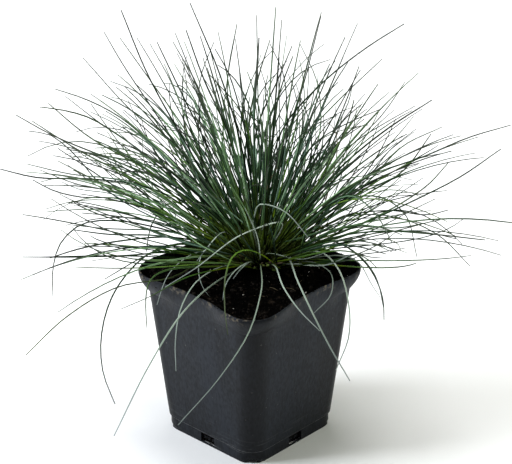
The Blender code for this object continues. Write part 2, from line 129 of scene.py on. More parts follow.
# The bits in it: how many, how thick beside their width, and the range of their size in mm and their tone.
# The crumbs' sizes have a gamma spread instead, and the tones of the last two have a beta spread.
GRIT = (26, 0.9, (0.3, 0.8), (0.0, 1.0))
BARK = (60, 0.3, (0.8, 2.0), (0.3, 0.8))
RIM_DIRT = (220, 0.7, (0.12, 0.45), (0.0, 0.9))
DRAIN_DIRT = (260, 0.8, (0.3, 0.6), (1.0, 4.0))  # behind each drainage hole
CRUMBS = (2600, 0.8, (2.2, 0.20), (1.2, 4.0))
CRUMB_LEAST = 0.12 * MM
BIT_KNOBS = (0.6, 1.3)
BIT_WIDTHS = (0.5, 1.0)
LYING_FLAT = 0.5  # thinner bits lie level
SPIN = 6.283  # the most that a bit is turned, in radians
FIBRES = 16
FIBRE_RINGS = 8
FIBRE_LENGTHS = (3.0, 9.0)  # in mm, as is the next
FIBRE_RADII = (0.08, 0.16)
FIBRE_SLOPES = (-0.05, 0.25)
FIBRE_DROOP = (0.1, 0.5)
FIBRE_LIFT = 0.3 * MM
FIBRE_MARGIN = 3.0 * MM
LEVEL = (1, 1, 0)  # keeps a shift level
SPOT_POWER = 1.3  # puts more bits near the wall
SPOT_REACH = 0.92  # how far in from the wall they lie, as a share
SPOT_BLUR = 0.5  # in mm, as is the next
RIM_BLUR = 0.35
RIM_DEPTH = 0.1 * MM
RIM_INSET = 0.6 * WALL
DRAIN_DEPTH = 1.2  # in mm
DRAIN_MARGIN = 2.0 * MM
DRAIN_BOTTOM = 0.7 * MM

# Crown
CROWN = RIGHT * 6.0 * MM + AWAY * 8.0 * MM + UP * (POT_HEIGHT + 0.9 * MM)
CROWN_RADIUS = 13.5 * MM
CROWN_RISE = 8.5 * MM
LEAST_RISE = math.radians(8.0)
CORE_SEGMENTS = 48
CORE_DEPTH = 1.6 * MM  # how far it lies inside the crown
CORE_KNOBS = 1.0 * MM
CORE_KNOB_SCALE = 400.0
CORE_FLOOR = -0.05
CORE_TONE = 0.1
STUBS = 320
STUB_LOWEST = 0.03
STUB_BASE = 0.6 * MM
STUB_DROOP = 0.1
STUB_RINGS = 6
STUB_LENGTHS = (7.0, 17.0)  # in mm, as is the next
STUB_RADII = (0.5, 0.85)
STUB_DEPTH = 2.0 * MM
STUB_LIFT = 0.35  # makes a stub more upright than the crown's surface does
STUB_SPREAD = 0.14
OUTER_RISE = 0.5  # stubs under this angle, in radians, are sometimes dry
OUTER_DRY = 0.25

# Leaves
LEAF_RADIUS = 0.54 * MM
FINE_SHARE = (0.66, 0.86)  # the half-width of the fine leaves, as a share of that
OWN_SHARE = 0.85  # and of those that the shoots' solids have
PALE_SHARE = 0.82  # and of the pale leaves that have solids
CLUMP_SHARE = (0.76, 0.96)
FRONT_SHARE = (0.62, 0.82)
TIP_SHARE = 0.56
TAPER = 5.0
PROFILE = ((-1.0, 0.10), (-0.55, 0.62), (0.0, 0.30), (0.55, 0.62), (1.0, 0.10), (0.52, -0.62),
           (-0.52, -0.62))
PAINTED_LIGHT = (0.4, 1.0, 0.0, 0.9, 0.2, 0.0, 0.10)  # painted light on each corner of the profile: a painted highlight on the upper side, painted shade in the groove and underneath
TURN_SPREAD = 0.5  # how a leaf is turned about its middle line, in radians
TWIST_SPREAD = 0.9  # and how much more at its tip
FIRST_LIFT = 0.2  # the upper side faces inward at a leaf's foot, and up by this much
GRAIN_RANGE = 90.0  # how far apart in the noise the streaks of two leaves may lie
GRAIN_LENGTH = 12.0 * MM
TRACED_RINGS = 22
CURVE_STEPS = 160
CLUMP_LENGTHS = (108.0, 146.0)  # in mm
LEANS = (1.0, -1.0, 0.7, -0.7, 0.4, -0.4, 0.0)  # tried in turn, until a leaf is clear of the pot
# How bright leaves are, from 0 to 1: the deep green ones and the bright ones have a beta spread each
DEEP_SHARE = 0.76
DEEP_TONES = (1.2, 4.0)
BRIGHT_TONES = (5.0, 2.0)
SINGLE_TONE_MOST = 0.35
CLUMP_TONE_MOST = 0.5
# The front-lit leaves are drawn brighter, as painted light
FRONT_LIT_PALE_TONES = (0.60, 0.95)
FRONT_LIT_TONES = (0.50, 1.0)

# Shoots
SHOOTS = 30
SHOOT_TIPS = 3
TIPS_APART = 6.0 * MM
SHOOT_LEAVES = 53  # drawn for each, before the thinly grown directions lose theirs
SHOOT_RINGS = 13
SHOOT_DROOP = 0.36
SHOOT_SPREAD = 0.25
SHORTEST = (0.52, 0.20)  # as a share of the shoot's length, and what leaning left adds
LONGEST = (0.99, 0.12)
START_SPREAD = 0.50
ASIDE_SPREAD = 0.45
ASIDE_DROP = 0.7
BASE_LIFT = 0.7 * MM
FINE_DROOP = (0.0, 0.6)
BEND_SPREAD = 0.18
BEND_MOST = 0.28
STEEP = 0.5  # leaves that rise more than this are more bluish
COOL_LOW = (0.0, 0.6)
COOL_STEEP = (0.3, 1.0)
DRY_SHARE = 0.015
# How crowded the leaves are, by their slope in the photograph in degrees, on its left and its right
SLOPES = (-30.0, 0.0, 12.0, 25.0, 40.0, 55.0, 70.0, 90.0)
CROWDED_LEFT = (0.05, 0.26, 0.31, 0.42, 0.60, 0.58, 0.36, 0.28)
CROWDED_RIGHT = (0.05, 0.28, 0.40, 0.26, 0.18, 0.30, 0.52, 0.28)
SIDE_BLEND = 2.0  # how fast the left's numbers give way to the right's
NEAR_FROM = 0.1  # leaves that point at the viewer are fewer
NEAR_RANGE = 0.6
NEAR_LOSS = 0.85
BASE_SPREAD = 11.0 * MM  # about how far beside the crown a fine leaf may start
POT_CLEARANCE = 1.5 * MM
LIP_CLEARANCE = 1.2  # how far below the rim the lip counts, beside its drop
CROWN_CLEARANCE = 6.0 * MM
GROUND_CLEARANCE = 2.0 * MM
BOX_MARGIN = 3.0 * MM

# Studio
FLOOR_SIZE = 24.0
FLOOR_DROP = 0.05 * MM
FLOOR_COLOUR = (0.90, 0.90, 0.90, 1.0)
WORLD_STRENGTH = 0.10
LIGHT_AIM = UP * 0.12
# Each light's place, side in metres, power in watts and colour
LIGHTS = {
    "light_left": (-RIGHT * 1.4 - AWAY * 0.1 + UP * 1.2, 0.9, 44.0, (0.92, 0.96, 1.0)),
    "light_right": (RIGHT * 1.5 + AWAY * 0.2 + UP * 1.0, 0.7, 14.0, (0.96, 1.0, 0.86)),
    "light_top": (UP * 1.9 + AWAY * 0.4, 0.7, 26.0, (1.0, 1.0, 1.0)),
}

# Colours. A leaf's are of its base, its middle, a bluish middle, its tip, and a lit green and a lit blue.
LEAF_COLOURS = {
    "blue": ((0.24, 0.36, 0.006), (0.010, 0.060, 0.001), (0.003, 0.050, 0.020), (0.062, 0.066, 0.056),
             (0.32, 0.58, 0.06), (0.50, 0.74, 0.62)),
    # silver: the leaves' glaucous blue-green, made paler as painted light on the leaves lit from the front
    "silver": ((0.14, 0.20, 0.07), (0.12, 0.18, 0.10), (0.14, 0.21, 0.17), (0.22, 0.26, 0.25),
               (0.58, 0.70, 0.52), (0.64, 0.72, 0.68)),
    "yellow": ((0.20, 0.24, 0.06), (0.11, 0.16, 0.04), (0.10, 0.15, 0.06), (0.15, 0.18, 0.09),
               (0.26, 0.31, 0.12), (0.30, 0.36, 0.16)),
    "base": ((0.06, 0.05, 0.02), (0.16, 0.18, 0.04), (0.12, 0.14, 0.04), (0.10, 0.16, 0.03),
             (0.26, 0.27, 0.08), (0.26, 0.27, 0.12)),
}
CRUMB_COLOURS = ((0.0001, 0.0001, 0.0001), (0.030, 0.024, 0.020))
GRIT_COLOURS = ((0.16, 0.15, 0.13), (0.62, 0.60, 0.56))
BLACK = (0.0, 0.0, 0.0, 1.0)
RUBBED = (0.16, 0.165, 0.17, 1.0)
DUST = (0.20, 0.19, 0.17, 1.0)
DIRT = (0.13, 0.11, 0.08, 1.0)
MIX_FIRST, MIX_SECOND, MIX_RESULT = 6, 7, 2  # a Mix node's sockets for colours

# The single leaves that have solids, each from near the crown to its tip. A point is a place in the
# photograph, in pixels, and its distance behind the pot's axis in millimetres.
SINGLE_LEAVES = {
    "leaf_left_droop": [
        (185, 243, -4), (150, 253, -16), (118, 286, -28), (101, 340, -34), (103, 372, -36), (115, 404, -37)],
    "leaf_left_low": [(215, 258, -4), (170, 278, -26), (118, 287, -36), (65, 318, -43), (26, 355, -48)],
    "leaf_left_arch": [
        (150, 226, 10), (115, 220.5, 7), (80, 225, 4), (62, 241, 2), (53, 268, 1), (53, 297, 0)],
    "leaf_left_level": [(180, 250, 2), (140, 254.5, -2), (80, 257, -8), (22, 257, -12)],
    "leaf_left_long": [(150, 188, 18), (90, 179, 25), (33, 177, 31), (0, 169, 34)],
    "leaf_left_high": [(160, 180, -8), (110, 159, -17), (50, 134, -27), (16, 115, -32)],
    "leaf_left_back": [(160, 172, 44), (100, 155, 80), (66, 149, 99)],
    "leaf_upper_left": [(180, 150, 26), (135, 114, 40), (83, 58, 52)],
    "leaf_top_left": [(185, 142, 14), (147, 73, 22), (121, 10, 26)],
    "leaf_crest_left": [(241, 145, -6), (220, 75, -20), (190, 3, -32)],
    "leaf_crest_back": [(233, 145, 26), (228, 75, 48), (237, 24, 62)],
    "leaf_crest_middle": [(254, 130, -14), (257, 75, -34), (259, 38, -46)],
    "leaf_crest_right": [(284, 150, 22), (304, 83, 42), (321, 16, 58)],
    "leaf_top_right": [(285, 125, 4), (318, 87, -3), (369, 46, -11), (404, 24, -16)],
    "leaf_right_high": [(340, 168, 34), (390, 127, 54), (432, 100, 68)],
    "leaf_right_long": [(360, 180, 4), (425, 156, -4), (470, 137, -10), (511, 125, -14)],
    "leaf_right_bow": [(350, 229, -20), (415, 200, -34), (460, 177, -42), (501, 149, -50)],
    "leaf_right_level": [(345, 235, -8), (385, 231, -14), (425, 233.5, -19), (485, 240, -26)],
    "leaf_right_arch": [(350, 216, 16), (395, 217, 19), (438, 235, 20), (470, 266, 20)],
    "leaf_right_hook": [(355, 197, 28), (380, 197, 34), (404, 213, 39), (417, 257, 42)],
    "leaf_rim_arch": [(325, 240, 0), (345, 246, -8), (368, 266, -16), (383, 300, -22), (384, 320, -24)],
    "leaf_front_long": [(235, 271, -10), (212, 285, -26), (180, 316, -48), (150, 364, -63), (114, 436, -78)],
    "leaf_front_left": [
        (218, 268, -16), (192, 287, -32), (181, 308, -40), (175.5, 340, -43), (176, 371, -44)],
    "leaf_front_middle": [
        (261, 268, -22), (261, 292, -50), (250, 330, -68), (223, 373, -75), (178, 425, -80)],
    "leaf_front_short": [(274, 265, -14), (285, 290, -40), (300, 311, -53), (320, 331, -60)],
    "leaf_front_right": [
        (285, 255, -10), (298, 282, -33), (313, 314, -50), (330, 347, -60), (350, 381, -67)],
    "leaf_right_curl": [(325, 254, -14), (340, 272, -24), (348, 300, -30), (349, 335, -33), (336, 370, -34)],
}
LEAF_SLOTS = {"blue": "leaf_blue_green", "silver": "leaf_silver_green", "yellow": "leaf_yellow_green",
              "base": "crown_straw"}
# How the names start of those that aren't blue-green
YELLOW_LEAVES = ("leaf_left_low",)
# These front-lit ones get the silver-green and bright tones, as painted light
PALE_LEAVES = ("leaf_front", "leaf_right_curl")

# Further leaves of the clump, from near the crown to the tip, in pixels of the photograph. Each gets a
# length of its own, and how far it leans towards the viewer or away follows from that.
CLUMP_LEAVES = {
    "leaves_left": [
        [(120, 180), (70, 174), (27, 164)], [(130, 177), (80, 151), (32, 121)],
        [(100, 184), (70, 150), (50, 135), (28, 131)], [(150, 172), (85, 134), (48, 103)],
        [(115, 133), (90, 118), (62, 110), (40, 107)], [(160, 152), (115, 114), (85, 99), (55, 89)],
        [(130, 143), (100, 123), (65, 96)], [(125, 150), (105, 124), (91, 104)],
        [(130, 200), (85, 175), (58, 161)], [(115, 198), (80, 197), (52, 190), (33, 180)],
        [(115, 192), (75, 183.5), (40, 170)], [(105, 192.5), (75, 188), (62, 182)],
        [(145, 207), (105, 200), (70, 202), (46, 209)], [(160, 224), (115, 216), (82, 213)],
        [(175, 233), (100, 228), (72, 225)],
        [(160, 236), (105, 234), (75, 230)], [(140, 226), (125, 218), (112, 209)],
        [(180, 238), (120, 241), (75, 250), (50, 258)], [(160, 247), (130, 247), (74, 246)],
        [(140, 253), (110, 246), (94, 243)], [(175, 245), (145, 256), (115, 273), (105, 279)],
        [(185, 278), (150, 296.5), (121, 309)], [(148, 285), (146, 315), (147, 328)],
        [(190, 203), (167, 204.5), (152, 224), (146, 252)],
    ],
    "leaves_upper_left": [
        [(180, 150), (150, 105), (122, 63), (104, 32)], [(180, 122), (150, 80), (120, 38)],
        [(183, 118), (155, 68), (137, 38)], [(185, 115), (168, 76), (150, 44)],
        [(207, 145), (180, 90), (157, 42)], [(217, 145), (197, 85), (173, 42)],
        [(225, 125), (205, 82), (186, 30)], [(223, 125), (228, 75), (237, 24)],
        [(201, 130), (201, 76), (214, 42)], [(184, 115), (187, 95), (182, 56)],
        [(240, 110), (227, 70), (215, 49)], [(160, 130), (135, 103), (116, 87)],
        [(160, 131), (122, 105), (102, 95)], [(222, 120), (210, 80), (203, 58)],
        [(233, 100), (218, 84), (208, 73)],
    ],
    "leaves_upper_right": [
        [(254, 115), (256, 75), (259, 38)], [(250, 115), (259, 75), (270, 40)],
        [(287, 110), (283, 73), (270, 44)], [(258, 125), (279, 77), (292, 46)],
        [(274, 115), (283, 82), (293, 56)], [(321, 118), (317, 82), (300, 44)],
        [(290, 155), (335, 104), (382, 59)], [(290, 125), (317, 87), (335, 61)],
        [(318, 120), (330, 91), (348, 62)], [(337, 126), (350, 97), (352, 87)],
        [(340, 142), (352, 108), (354, 100)], [(325, 145), (350, 114), (362, 104)],
        [(320, 139), (350, 122), (381, 109)], [(325, 137), (355, 127), (369, 125)],
        [(299, 108), (303, 80), (306, 69)], [(282, 108), (297, 82), (306, 69)],
        [(242, 100), (240, 80), (239, 64)], [(268, 110), (265, 90), (268, 75)],
        [(350, 147), (382, 115), (405, 82)],
    ],
    "leaves_right": [
        [(355, 142), (385, 123), (415, 106)], [(368, 178), (390, 150), (416, 129)],
        [(366, 176), (388, 152), (414, 132)], [(370, 180), (403, 146), (442, 127)],
        [(420, 158), (450, 146), (478, 137)], [(365, 195), (404, 170), (431, 134)],
        [(370, 175), (400, 158), (427, 146)], [(365, 222), (405, 201), (430, 183), (448, 163)],
        [(362, 200), (390, 187), (401, 180)], [(350, 208), (380, 198), (411, 195)],
        [(350, 226), (400, 215), (435, 199)], [(350, 215), (390, 210.5), (430, 214.5), (448, 210)],
        [(355, 225), (395, 228), (440, 220)], [(358, 198), (380, 220), (392, 243)],
        [(335, 241), (350, 239), (365, 236)], [(340, 241), (368, 242), (392, 252)],
        [(344, 245), (360, 247), (386, 254)], [(352, 252), (370, 257), (382, 258)],
        [(362, 256), (370, 261), (377, 268)],
    ],
}
# Leaves over the near rim, with a distance behind the pot's axis at each point, as above
FRONT_LEAVES = [
    [(200, 252, -2), (178, 264, -16), (165, 281, -30), (157, 305, -36)],
    [(280, 222, -18), (241, 235, -28), (193, 270, -36), (165, 287, -40)],
    [(208, 247, -6), (199, 275, -24), (205, 291, -30), (210, 297, -31)],
    [(250, 262, -12), (234, 272, -24), (224, 291, -36), (223, 300, -40)],
    [(250, 262, -10), (240, 270, -16), (233, 279, -20)],
    [(225, 232, 0), (207, 248, -14), (197, 261, -22)],
    [(318, 264, -12), (332, 276, -24), (331, 294, -34), (314, 313, -46)],
    [(265, 255, -6), (305, 259, -18), (335, 249, -20)],
    [(292, 264, -12), (330, 264, -22), (350, 255, -24)],
    [(254, 217, -26), (262, 204, -38), (284, 211, -47), (311, 241, -53)],
    [(260, 255, -16), (257, 236, -28), (245, 208, -36)],
    [(345, 246, -4), (375, 275, -18), (384, 310, -26)],
    [(360, 264, -10), (372, 285, -18), (380, 297, -22)],
]


def unit(vectors):
    """Vectors of length one, along the last axis."""
    return vectors / np.maximum(np.linalg.norm(vectors, axis=-1, keepdims=True), TINY)


def ease(share):
    """From 0 to 1, with level ends."""
    share = np.clip(share, 0.0, 1.0)
    return share * share * (3.0 - 2.0 * share)


# Materials

class Shade:
    """A Principled material, with short ways to add nodes to it."""

    def __init__(self, name, roughness, specular=0.5):
        self.material = bpy.data.materials.new(name)
        self.material.use_nodes = True
        self.tree = self.material.node_tree
        self.shader = self.tree.nodes["Principled BSDF"]
        self.shader.inputs["Roughness"].default_value = roughness
        self.shader.inputs["Specular IOR Level"].default_value = specular

    def add(self, kind, inputs, **settings):
        """A node with its settings, and its inputs set or linked."""
        node = self.tree.nodes.new(kind)
        for key, value in settings.items():
            setattr(node, key, value)
        for key, value in inputs.items():
            self.feed(node.inputs[key], value)
        return node

    def feed(self, socket, value):
        """Link an output to a socket, or set the socket's own value."""
        if isinstance(value, bpy.types.NodeSocket):
            self.tree.links.new(value, socket)
        else:
            socket.default_value = value

    def attribute(self, name, output="Fac"):
        """A value that the mesh carries."""
        return self.add("ShaderNodeAttribute", {}, attribute_name=name).outputs[output]

    def position(self):
        """The place on the object."""
        return self.add("ShaderNodeTexCoord", {}).outputs["Object"]

    def height(self):
        """The height over the resting face."""
        return self.add("ShaderNodeSeparateXYZ", {"Vector": self.position()}).outputs["Z"]

    def cornerness(self):
        """From 0 on the middle of a square's sides to 1 on its corners."""
        axes = self.add("ShaderNodeSeparateXYZ", {"Vector": self.position()}).outputs
        square = self.plus(self.times(axes["X"], axes["X"]), self.times(axes["Y"], axes["Y"]))
        ratio = self.maths("DIVIDE", self.times(axes["X"], axes["Y"]), square)
        return self.times(self.maths("ABSOLUTE", ratio), 2.0)

    def grey(self, value):
        """A grey of a value."""
        return self.add("ShaderNodeCombineColor", {0: value, 1: value, 2: value}).outputs["Color"]

    def noise(self, place, scale, detail=3.0, roughness=0.55, stretch=None):
        """Noise from 0 to 1, stretched by a scale on each axis."""
        if stretch:
            place = self.add("ShaderNodeMapping", {"Vector": place, "Scale": stretch}).outputs["Vector"]
        node = self.add("ShaderNodeTexNoise", {"Vector": place, "Scale": scale, "Detail": detail,
                                               "Roughness": roughness})
        return node.outputs["Fac"]

    def between(self, value, low, high, to_low=0.0, to_high=1.0):
        """A value mapped from one range to another, and kept in it."""
        node = self.add("ShaderNodeMapRange", {"Value": value, "From Min": low, "From Max": high,
                                               "To Min": to_low, "To Max": to_high})
        return node.outputs["Result"]

    def maths(self, operation, *values):
        """One step of arithmetic."""
        return self.add("ShaderNodeMath", dict(enumerate(values)), operation=operation).outputs[0]

    def times(self, first, second):
        """The product of two values."""
        return self.maths("MULTIPLY", first, second)

    def plus(self, first, second):
        """The sum of two values."""
        return self.maths("ADD", first, second)

    def mix(self, share, first, second, blend="MIX"):
        """Two colours mixed."""
        inputs = {"Factor": share, MIX_FIRST: first, MIX_SECOND: second}
        return self.add("ShaderNodeMix", inputs, data_type="RGBA", blend_type=blend).outputs[MIX_RESULT]

    def ramp(self, value, stops):
        """A colour for each value, from stops of place and colour."""
        node = self.add("ShaderNodeValToRGB", {"Fac": value})
        elements = node.color_ramp.elements
        while len(elements) < len(stops):
            elements.new(0.5)
        for element, (place, colour) in zip(elements, stops):
            element.position = place
            element.color = (*colour, 1.0)
        return node.outputs["Color"]

    def bump(self, height, depth):
        """Fine relief of a depth in metres."""
        node = self.add("ShaderNodeBump", {"Height": height, "Distance": depth, "Strength": 1.0})
        self.feed(self.shader.inputs["Normal"], node.outputs["Normal"])

    def finish(self, colour, roughness=None):
        """Feed the shader's colour and roughness."""
        self.feed(self.shader.inputs["Base Color"], colour)
        if roughness is not None:
            self.feed(self.shader.inputs["Roughness"], roughness)
        return self.material


def leaf_material(name, base, middle, cool, tip, vivid, bright):
    """A rolled leaf: its colour runs from its base to its tip, and varies from leaf to leaf. It carries
    painted highlights and painted shade as well.
    """
    shade = Shade(name, 0.5, specular=0.06)
    along = shade.attribute("along")
    grain = shade.attribute("grain", "Vector")
    streaks = shade.noise(grain, 2.4, detail=2.0)
    patches = shade.noise(grain, 0.35, detail=1.0)
    place = shade.plus(along, shade.between(patches, 0.3, 0.7, -0.08, 0.08))
    # deep, a quarter of the middle colour, is painted shade: in the groove, on the underside, and near the
    # crown on the bluish leaves
    deep = tuple(0.25 * part for part in middle)
    green = shade.ramp(place, [(0.0, base), (0.14, base), (0.28, middle), (0.52, middle), (0.84, tip)])
    bluish = shade.ramp(place, [(0.0, deep), (0.18, deep), (0.40, cool), (0.52, cool), (0.84, tip)])
    bluer = shade.attribute("cool")
    body = shade.mix(bluer, green, bluish)
    brightest = shade.mix(bluer, (*vivid, 1.0), (*bright, 1.0))
    # Painted highlight: strongest on the upper corners of the profile and on leaves of high tone, kept off
    # the part near the crown, which lies in shade, and fading towards the tip
    out_of_shade = shade.times(shade.between(place, 0.10, 0.36, 0.15, 1.0),
                               shade.between(place, 0.42, 0.82, 1.0, 0.2))
    tone = shade.attribute("tone")
    painted_light = shade.attribute("painted_light")
    lit = shade.times(shade.times(tone, tone), shade.between(painted_light, 0.0, 1.0, 0.5, 1.7))
    # Painted shade in the groove and on the underside
    groove_shaded = shade.mix(shade.between(painted_light, 0.0, 0.6, 0.65, 0.0), body, (*deep, 1.0))
    # Painted shade deep in the clump: leaves of low tone painted nearly black, most of all on their half
    # near the crown
    clump_shade = shade.times(shade.between(tone, 0.0, 0.40, 0.88, 0.0),
                       shade.between(place, 0.50, 0.85, 1.0, 0.25))
    clump_shaded = shade.mix(clump_shade, groove_shaded, BLACK)
    highlighted = shade.mix(shade.times(lit, out_of_shade), clump_shaded, brightest)
    streaked = shade.mix(shade.between(streaks, 0.40, 0.80, 0.0, 0.12), highlighted, (*tip, 1.0))
    dead = shade.ramp(streaks, [(0.3, (0.06, 0.045, 0.025)), (0.7, (0.17, 0.14, 0.085))])
    colour = shade.mix(shade.attribute("dry"), streaked, dead)
    shade.bump(streaks, 0.08 * MM)
    return shade.finish(colour, shade.between(streaks, 0.3, 0.7, 0.40, 0.58))


def plastic_material():
    """Satin black plastic with soft upright streaks, scuffs at the foot and dirt at the rim, and painted
    shade on its rounded corners and towards the foot.
    """
    shade = Shade("black_plastic", 0.5, specular=0.12)
    place = shade.position()
    height = shade.height()
    streaks = shade.noise(place, 75.0, detail=4.0, roughness=0.65, stretch=(1.0, 1.0, 0.18))
    fine = shade.noise(place, 800.0, detail=3.0, stretch=(1.0, 1.0, 0.45))
    mottle = shade.plus(shade.times(streaks, 0.5), shade.times(fine, 0.5))
    body = shade.ramp(mottle, [(0.40, (0.0065, 0.0078, 0.0102)), (0.60, (0.0190, 0.0225, 0.0295))])
    # Painted shade: the rounded corners darker, and the walls darker towards the foot and a little lighter
    # near the rim
    painted_shade = shade.times(shade.between(shade.cornerness(), 0.91, 0.98, 1.0, 0.42),
                         shade.between(height, 0.0, 0.85 * POT_HEIGHT, 0.76, 1.04))
    body = shade.mix(1.0, body, shade.grey(painted_shade), "MULTIPLY")
    specks = shade.noise(place, 420.0, detail=4.0, roughness=0.65)
    lines = shade.noise(place, 90.0, detail=5.0, roughness=0.7, stretch=(0.5, 0.5, 9.0))
    near_foot = shade.between(height, 0.020, 0.003)
    scuffs = shade.times(shade.between(lines, 0.57, 0.66), near_foot)
    foot_line = shade.times(shade.between(height, SKIRT_HEIGHT - 0.6 * MM, SKIRT_HEIGHT - 0.1 * MM),
                            shade.between(height, SKIRT_HEIGHT + 0.7 * MM, SKIRT_HEIGHT + 0.2 * MM))
    worn = shade.times(foot_line, shade.between(specks, 0.42, 0.60, 0.1, 0.8))
    rubbed = shade.mix(shade.plus(shade.times(scuffs, 0.35), worn), body, RUBBED)
    dust = shade.noise(place, 650.0, detail=2.0, roughness=0.5)
    scuffed = shade.mix(shade.between(dust, 0.74, 0.80, 0.0, 0.6), rubbed, DUST)
    near_rim = shade.between(height, POT_HEIGHT - 5.0 * MM, POT_HEIGHT - 0.3 * MM)
    patches = shade.noise(place, 70.0, detail=2.0)
    spotty = shade.times(shade.between(specks, 0.50, 0.62), shade.between(patches, 0.46, 0.58))
    colour = shade.mix(shade.times(spotty, near_rim), scuffed, DIRT)
    relief = shade.plus(shade.times(fine, 0.35), shade.times(streaks, 0.65))
    shade.bump(relief, 0.30 * MM)
    return shade.finish(colour, shade.between(streaks, 0.3, 0.7, 0.38, 0.56))


def soil_material():
    """Damp, nearly black potting mix: damp mix is dark, and its colour is darkened further as painted shade
    under the clump.
    """
    shade = Shade("potting_mix", 0.9, specular=0.015)
    place = shade.position()
    lumps = shade.noise(place, 260.0, detail=6.0, roughness=0.7)
    # Painted shade: the mix's colour is darkened to nearly black for the shade under the clump
    colour = shade.ramp(lumps, [(0.35, (0.0001, 0.0001, 0.0001)), (0.56, (0.0008, 0.0006, 0.0005)),
                                (0.72, (0.030, 0.022, 0.016))])
    shade.bump(lumps, 0.8 * MM)
    return shade.finish(colour)


def crumb_material(name, dark, light):
    """Small bits in the mix, each of its own tone, and paler in some patches than in others."""
    shade = Shade(name, 0.85, specular=0.03)
    place = shade.position()
    specks = shade.noise(place, 1500.0, detail=3.0)
    patches = shade.between(shade.noise(place, 75.0, detail=1.0), 0.42, 0.58, 0.3, 1.2)
    tone = shade.plus(shade.times(shade.attribute("tone"), patches),
                      shade.between(specks, 0.3, 0.7, -0.2, 0.2))
    shade.bump(specks, 0.2 * MM)
    return shade.finish(shade.ramp(tone, [(0.0, dark), (1.0, light)]))


def floor_material():
    """Plain pale studio floor."""
    return Shade("studio_floor", 0.9, specular=0.0).finish(FLOOR_COLOUR)


# Meshes

def add_object(name, data):
    """An object in the scene."""
    item = bpy.data.objects.new(name, data)
    bpy.context.scene.collection.objects.link(item)
    return item


def mesh_of(bm, name):
    """A mesh of what was built in bm, which is freed."""
    mesh = bpy.data.meshes.new(name)
    bm.to_mesh(mesh)
    bm.free()
    return mesh


def new_piece(name, mesh, material, slot, *replaced):
    """An object of the part, riding on its one body."""
    piece = add_object(name, mesh)
    mesh.materials.append(material)
    mesh.shade_smooth()
    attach(piece, "root")
    if replaced:
        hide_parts(*replaced)


def carry(mesh, name, values):
    """Keep a value, or a vector, for each point of a mesh."""
    values = np.asarray(values, np.float32)
    kind, field = ("FLOAT_VECTOR", "vector") if values.ndim == 2 else ("FLOAT", "value")
    mesh.attributes.new(name, kind, "POINT").data.foreach_set(field, values.ravel())


def seen(column, row, behind):
    """The point under a pixel of the photograph, at a distance in mm behind the pot's axis."""
    sight = (RIGHT * (column - PHOTO_SIZE[0] / 2) + UPWARD * (PHOTO_SIZE[1] / 2 - row)) / FOCAL_PIXELS - BACK
    return EYE + sight * ((behind * MM - EYE @ AWAY) / (sight @ AWAY))


def smooth(points):
    """A leaf's evenly spaced rings on a smooth curve through points."""
    knots = np.array(points)
    gaps = np.linalg.norm(np.diff(knots, axis=0), axis=1)
    stations = np.concatenate(([0.0], np.cumsum(gaps)))
    slopes = np.gradient(knots, stations, axis=0)
    fine = np.linspace(0.0, stations[-1], CURVE_STEPS)
    index = np.clip(np.searchsorted(stations, fine, side="right") - 1, 0, len(gaps) - 1)
    gap = gaps[index][:, None]
    t = (fine[:, None] - stations[index][:, None]) / gap
    curve = (
        (2 * t ** 3 - 3 * t ** 2 + 1) * knots[index]
        + (t ** 3 - 2 * t ** 2 + t) * gap * slopes[index]
        + (3 * t ** 2 - 2 * t ** 3) * knots[index + 1]
        + (t ** 3 - t ** 2) * gap * slopes[index + 1]
    )
    travelled = np.concatenate(([0.0], np.cumsum(np.linalg.norm(np.diff(curve, axis=0), axis=1))))
    stops = np.linspace(0.0, travelled[-1], TRACED_RINGS)
    return np.stack([np.interp(stops, travelled, curve[:, axis]) for axis in range(3)], axis=1)


def crown_point(direction):
    """The crown's surface under a direction."""
    level = math.hypot(direction[0], direction[1])
    rise = max(math.atan2(direction[2], level), LEAST_RISE)
    outward = np.array((direction[0], direction[1], 0.0)) / max(level, TINY)
    return CROWN + outward * (CROWN_RADIUS * math.cos(rise)) + UP * (CROWN_RISE * math.sin(rise))


def clear_of_pot(route):
    """Whether a leaf passes over the rim and beside the walls without touching them."""
    share = np.clip(route[:, 2] / POT_HEIGHT, 0.0, 1.0)
    half = FOOT_HALF + (RIM_HALF - FOOT_HALF) * share
    under_rim = (POT_HEIGHT - route[:, 2]) / LIP_DROP
    half = half + LIP_REACH * np.clip(LIP_CLEARANCE - under_rim, 0.0, 1.0) + POT_CLEARANCE
    reach = np.abs(route[:, :2]).max(axis=1)
    beside = reach > half
    over_rim = route[:, 2] > POT_HEIGHT + POT_CLEARANCE
    near_crown = np.linalg.norm(route[:, :2] - CROWN[:2], axis=1) < CROWN_RADIUS + CROWN_CLEARANCE
    return bool(np.all((beside | over_rim | near_crown) & (route[:, 2] > GROUND_CLEARANCE)))


@dataclass
class Leaf:
    """One leaf: its route and greatest half-width, and how bright, bluish and dry it is, from 0 to 1."""
    route: np.ndarray
    radius: float
    tone: float
    cool: float = 0.5
    dry: float = 0.0


def transported(tangents, first):
    """A direction square to each leaf, carried along it without turning about it."""
    normals = np.zeros_like(tangents)
    current = first
    for ring in range(tangents.shape[1]):
        tangent = tangents[:, ring]
        current = unit(current - tangent * np.sum(current * tangent, axis=1, keepdims=True))
        normals[:, ring] = current
    return normals


